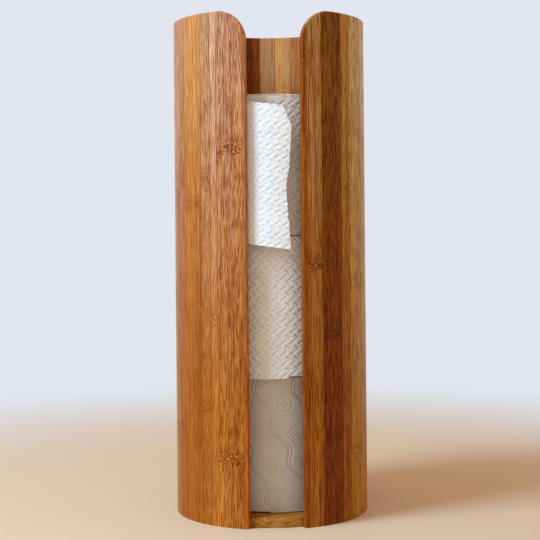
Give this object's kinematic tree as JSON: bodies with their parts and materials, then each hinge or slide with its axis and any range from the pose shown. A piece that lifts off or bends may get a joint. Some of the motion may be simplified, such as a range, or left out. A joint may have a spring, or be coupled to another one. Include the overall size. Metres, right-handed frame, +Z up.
{
  "type": "toilet roll stand",
  "caption": "Free-standing bamboo toilet roll stand: an open tube with a tall front slot, holding stacked rolls that lift out at the top.",
  "frame": {"origin": "centre of the flat underside, on the axis of the tube", "axes": "+Z up the axis of the tube; the front slot faces -Y; +X to the right as seen from the front"},
  "size_m": [0.142, 0.139, 0.3619],
  "materials": {
    "bamboo_dark": "satin",
    "bamboo_brown": "satin",
    "bamboo_amber": "satin",
    "bamboo_honey": "satin",
    "bamboo_pale": "satin",
    "roll_tissue": "matte",
    "sheet_tissue": "matte",
    "cardboard": "matte"
  },
  "bodies": {
    "stand": {"stave_01": "bamboo_brown", "stave_02": "bamboo_brown", "stave_03": "bamboo_dark", "stave_04": "bamboo_brown", "stave_05": "bamboo_honey", "stave_06": "bamboo_honey", "stave_07": "bamboo_amber", "stave_08": "bamboo_honey", "stave_09": "bamboo_brown", "stave_10": "bamboo_amber", "stave_11": "bamboo_honey", "stave_12": "bamboo_honey", "stave_13": "bamboo_pale", "stave_14": "bamboo_honey", "stave_15": "bamboo_dark", "stave_16": "bamboo_dark", "stave_17": "bamboo_amber", "stave_18": "bamboo_honey", "stave_19": "bamboo_amber", "stave_20": "bamboo_honey", "stave_21": "bamboo_amber", "stave_22": "bamboo_honey", "stave_23": "bamboo_honey", "stave_24": "bamboo_amber", "stave_25": "bamboo_amber", "stave_26": "bamboo_amber", "stave_27": "bamboo_pale", "stave_28": "bamboo_amber", "stave_29": "bamboo_amber", "base_strip_01": "bamboo_honey", "base_strip_02": "bamboo_amber", "base_strip_03": "bamboo_pale", "base_strip_04": "bamboo_honey", "base_strip_05": "bamboo_amber", "base_strip_06": "bamboo_pale", "base_strip_07": "bamboo_honey"},
    "bottom_roll": {"bottom_roll_paper": "roll_tissue", "bottom_roll_core": "cardboard"},
    "middle_roll": {"middle_roll_paper": "roll_tissue", "middle_roll_core": "cardboard"},
    "top_roll": {"top_roll_paper": "roll_tissue", "top_roll_core": "cardboard", "loose_sheet": "sheet_tissue"}
  },
  "joints": [
    {"name": "bottom_roll_lift", "type": "slide", "parent": "stand", "child": "bottom_roll", "axis": [0, 0, 1], "range_m": [0, 0.36]},
    {"name": "middle_roll_lift", "type": "slide", "parent": "bottom_roll", "child": "middle_roll", "axis": [0, 0, 1], "range_m": [0, 0.265]},
    {"name": "top_roll_lift", "type": "slide", "parent": "middle_roll", "child": "top_roll", "axis": [0, 0, 1], "range_m": [0, 0.165]}
  ]
}
